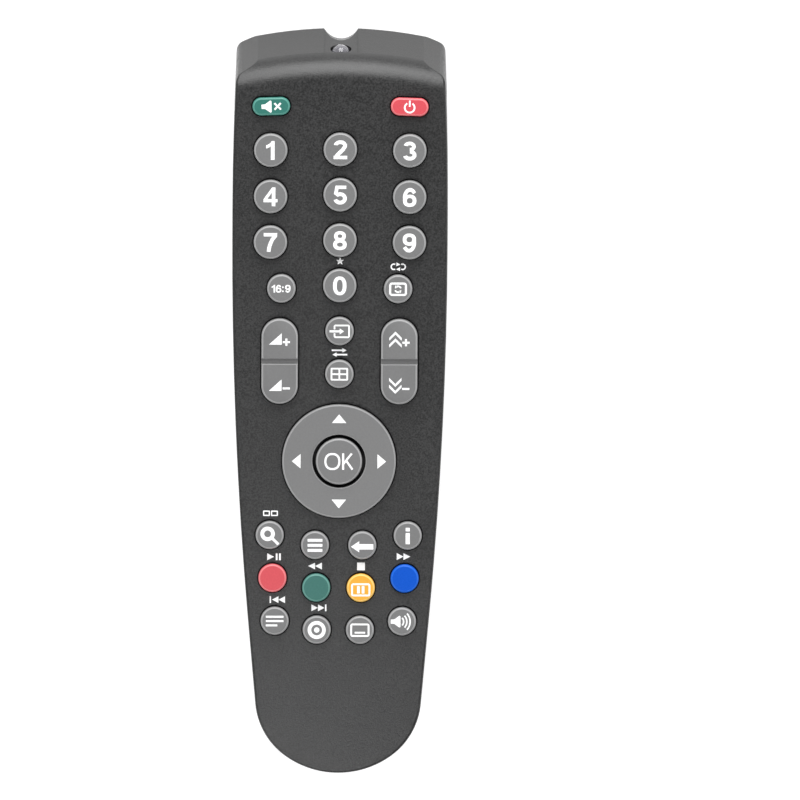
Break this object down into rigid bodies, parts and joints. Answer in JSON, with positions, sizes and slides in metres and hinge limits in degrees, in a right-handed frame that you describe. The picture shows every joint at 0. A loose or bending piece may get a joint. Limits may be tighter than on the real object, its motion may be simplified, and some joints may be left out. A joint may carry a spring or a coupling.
{
  "type": "tv remote control",
  "caption": "Long handheld infrared remote: dark key face, grey hooked back with a battery bulge, sliding keys, tipping rockers and ring, swinging battery door.",
  "frame": {"origin": "under the middle of the case, on the surface that it lies on", "axes": "+X across the case to the right as seen from the keys, +Y towards the infrared end, +Z towards the key side"},
  "size_m": [0.0594, 0.2049, 0.0256],
  "materials": {
    "front_plastic": "dark charcoal moulded plastic with a fine matte spark texture",
    "rear_plastic": "mid grey moulded plastic with a fine matte spark texture",
    "key_rubber": "grey silicone rubber with a smooth satin top",
    "ring_rubber": "grey satin rubber, dished",
    "mute_rubber": "teal green silicone rubber",
    "power_rubber": "coral red silicone rubber",
    "red_rubber": "red silicone rubber",
    "green_rubber": "green silicone rubber",
    "yellow_rubber": "yellow orange silicone rubber",
    "blue_rubber": "blue silicone rubber",
    "mat_rubber": "dark rubber sheet",
    "board_laminate": "green lacquered circuit board",
    "chip_plastic": "black moulded resin",
    "can_jacket": "dark blue plastic sleeve",
    "cell_jacket": "plain grey printed film over a steel can",
    "contact_steel": "nickel plated spring steel",
    "lamp_lens": "clear smoky resin",
    "legend_print": "white printed marks"
  },
  "bodies": {
    "root": {"front_shell": "front_plastic", "rear_shell": "rear_plastic", "keypad_mat": "mat_rubber", "circuit_board": "board_laminate", "ir_led": "lamp_lens", "ir_led_leads": "contact_steel", "controller_chip": "chip_plastic", "resonator": "contact_steel", "capacitor": "can_jacket", "board_parts": "chip_plastic", "battery_left": "cell_jacket", "battery_right": "cell_jacket", "spring_left": "contact_steel", "spring_right": "contact_steel", "contact_plus": "contact_steel", "contact_minus": "contact_steel", "contact_bridge": "contact_steel"},
    "battery_door": {"battery_door": "rear_plastic"},
    "door_latch": {"door_latch": "rear_plastic"},
    "key_1": {"key_1": "key_rubber"},
    "key_2": {"key_2": "key_rubber"},
    "key_3": {"key_3": "key_rubber"},
    "key_4": {"key_4": "key_rubber"},
    "key_5": {"key_5": "key_rubber"},
    "key_6": {"key_6": "key_rubber"},
    "key_7": {"key_7": "key_rubber"},
    "key_8": {"key_8": "key_rubber"},
    "key_9": {"key_9": "key_rubber"},
    "key_0": {"key_0": "key_rubber"},
    "key_aspect": {"key_aspect": "key_rubber"},
    "key_repeat": {"key_repeat": "key_rubber"},
    "key_source": {"key_source": "key_rubber"},
    "key_guide": {"key_guide": "key_rubber"},
    "key_zoom": {"key_zoom": "key_rubber"},
    "key_menu": {"key_menu": "key_rubber"},
    "key_back": {"key_back": "key_rubber"},
    "key_info": {"key_info": "key_rubber"},
    "key_red": {"key_red": "red_rubber"},
    "key_green": {"key_green": "green_rubber"},
    "key_yellow": {"key_yellow": "yellow_rubber"},
    "key_blue": {"key_blue": "blue_rubber"},
    "key_text": {"key_text": "key_rubber"},
    "key_record": {"key_record": "key_rubber"},
    "key_subtitle": {"key_subtitle": "key_rubber"},
    "key_audio": {"key_audio": "key_rubber"},
    "key_mute": {"key_mute": "mute_rubber"},
    "key_power": {"key_power": "power_rubber"},
    "key_ok": {"key_ok": "key_rubber"},
    "rocker_volume": {"rocker_volume": "key_rubber"},
    "rocker_channel": {"rocker_channel": "key_rubber"},
    "nav_gimbal": {"nav_gimbal": "chip_plastic"},
    "nav_ring": {"nav_ring": "ring_rubber"}
  },
  "joints": [
    {"name": "door_swing", "type": "hinge", "parent": "root", "child": "battery_door", "pos_m": [0, -0.0913, 0], "axis": [-1, 0, 0], "range_deg": [0, 45]},
    {"name": "latch_flex", "type": "hinge", "parent": "battery_door", "child": "door_latch", "pos_m": [0, -0.01825, 0.0067], "axis": [-1, 0, 0], "range_deg": [0, 8], "stiffness_Nm_per_rad": 0.2},
    {"name": "tip_volume", "type": "hinge", "parent": "root", "child": "rocker_volume", "pos_m": [-0.01648, 0.0119, 0.02029], "axis": [1, 0, 0], "range_deg": [-2.5, 2.5], "stiffness_Nm_per_rad": 0.3},
    {"name": "tip_channel", "type": "hinge", "parent": "root", "child": "rocker_channel", "pos_m": [0.01648, 0.0119, 0.02029], "axis": [1, 0, 0], "range_deg": [-2.5, 2.5], "stiffness_Nm_per_rad": 0.3},
    {"name": "ring_up_down", "type": "hinge", "parent": "root", "child": "nav_gimbal", "pos_m": [0, -0.0157, 0.01943], "axis": [1, 0, 0], "range_deg": [-1.8, 1.8], "stiffness_Nm_per_rad": 0.5},
    {"name": "ring_left_right", "type": "hinge", "parent": "nav_gimbal", "child": "nav_ring", "pos_m": [0, -0.0157, 0.02088], "axis": [0, 1, 0], "range_deg": [-1.8, 1.8], "stiffness_Nm_per_rad": 0.5},
    {"name": "press_1", "type": "slide", "parent": "root", "child": "key_1", "axis": [0, 0, -1], "range_m": [0, 0.0008], "stiffness_N_per_m": 1500},
    {"name": "press_2", "type": "slide", "parent": "root", "child": "key_2", "axis": [0, 0, -1], "range_m": [0, 0.0008], "stiffness_N_per_m": 1500},
    {"name": "press_3", "type": "slide", "parent": "root", "child": "key_3", "axis": [0, 0, -1], "range_m": [0, 0.0008], "stiffness_N_per_m": 1500},
    {"name": "press_4", "type": "slide", "parent": "root", "child": "key_4", "axis": [0, 0, -1], "range_m": [0, 0.0008], "stiffness_N_per_m": 1500},
    {"name": "press_5", "type": "slide", "parent": "root", "child": "key_5", "axis": [0, 0, -1], "range_m": [0, 0.0008], "stiffness_N_per_m": 1500},
    {"name": "press_6", "type": "slide", "parent": "root", "child": "key_6", "axis": [0, 0, -1], "range_m": [0, 0.0008], "stiffness_N_per_m": 1500},
    {"name": "press_7", "type": "slide", "parent": "root", "child": "key_7", "axis": [0, 0, -1], "range_m": [0, 0.0008], "stiffness_N_per_m": 1500},
    {"name": "press_8", "type": "slide", "parent": "root", "child": "key_8", "axis": [0, 0, -1], "range_m": [0, 0.0008], "stiffness_N_per_m": 1500},
    {"name": "press_9", "type": "slide", "parent": "root", "child": "key_9", "axis": [0, 0, -1], "range_m": [0, 0.0008], "stiffness_N_per_m": 1500},
    {"name": "press_0", "type": "slide", "parent": "root", "child": "key_0", "axis": [0, 0, -1], "range_m": [0, 0.0008], "stiffness_N_per_m": 1500},
    {"name": "press_aspect", "type": "slide", "parent": "root", "child": "key_aspect", "axis": [0, 0, -1], "range_m": [0, 0.0008], "stiffness_N_per_m": 1500},
    {"name": "press_repeat", "type": "slide", "parent": "root", "child": "key_repeat", "axis": [0, 0, -1], "range_m": [0, 0.0008], "stiffness_N_per_m": 1500},
    {"name": "press_source", "type": "slide", "parent": "root", "child": "key_source", "axis": [0, 0, -1], "range_m": [0, 0.0008], "stiffness_N_per_m": 1500},
    {"name": "press_guide", "type": "slide", "parent": "root", "child": "key_guide", "axis": [0, 0, -1], "range_m": [0, 0.0008], "stiffness_N_per_m": 1500},
    {"name": "press_zoom", "type": "slide", "parent": "root", "child": "key_zoom", "axis": [0, 0, -1], "range_m": [0, 0.0008], "stiffness_N_per_m": 1500},
    {"name": "press_menu", "type": "slide", "parent": "root", "child": "key_menu", "axis": [0, 0, -1], "range_m": [0, 0.0008], "stiffness_N_per_m": 1500},
    {"name": "press_back", "type": "slide", "parent": "root", "child": "key_back", "axis": [0, 0, -1], "range_m": [0, 0.0008], "stiffness_N_per_m": 1500},
    {"name": "press_info", "type": "slide", "parent": "root", "child": "key_info", "axis": [0, 0, -1], "range_m": [0, 0.0008], "stiffness_N_per_m": 1500},
    {"name": "press_red", "type": "slide", "parent": "root", "child": "key_red", "axis": [0, 0, -1], "range_m": [0, 0.0008], "stiffness_N_per_m": 1500},
    {"name": "press_green", "type": "slide", "parent": "root", "child": "key_green", "axis": [0, 0, -1], "range_m": [0, 0.0008], "stiffness_N_per_m": 1500},
    {"name": "press_yellow", "type": "slide", "parent": "root", "child": "key_yellow", "axis": [0, 0, -1], "range_m": [0, 0.0008], "stiffness_N_per_m": 1500},
    {"name": "press_blue", "type": "slide", "parent": "root", "child": "key_blue", "axis": [0, 0, -1], "range_m": [0, 0.0008], "stiffness_N_per_m": 1500},
    {"name": "press_text", "type": "slide", "parent": "root", "child": "key_text", "axis": [0, 0, -1], "range_m": [0, 0.0008], "stiffness_N_per_m": 1500},
    {"name": "press_record", "type": "slide", "parent": "root", "child": "key_record", "axis": [0, 0, -1], "range_m": [0, 0.0008], "stiffness_N_per_m": 1500},
    {"name": "press_subtitle", "type": "slide", "parent": "root", "child": "key_subtitle", "axis": [0, 0, -1], "range_m": [0, 0.0008], "stiffness_N_per_m": 1500},
    {"name": "press_audio", "type": "slide", "parent": "root", "child": "key_audio", "axis": [0, 0, -1], "range_m": [0, 0.0008], "stiffness_N_per_m": 1500},
    {"name": "press_mute", "type": "slide", "parent": "root", "child": "key_mute", "axis": [0, 0, -1], "range_m": [0, 0.0008], "stiffness_N_per_m": 1500},
    {"name": "press_power", "type": "slide", "parent": "root", "child": "key_power", "axis": [0, 0, -1], "range_m": [0, 0.0008], "stiffness_N_per_m": 1500},
    {"name": "press_ok", "type": "slide", "parent": "root", "child": "key_ok", "axis": [0, 0, -1], "range_m": [0, 0.0008], "stiffness_N_per_m": 1500}
  ]
}
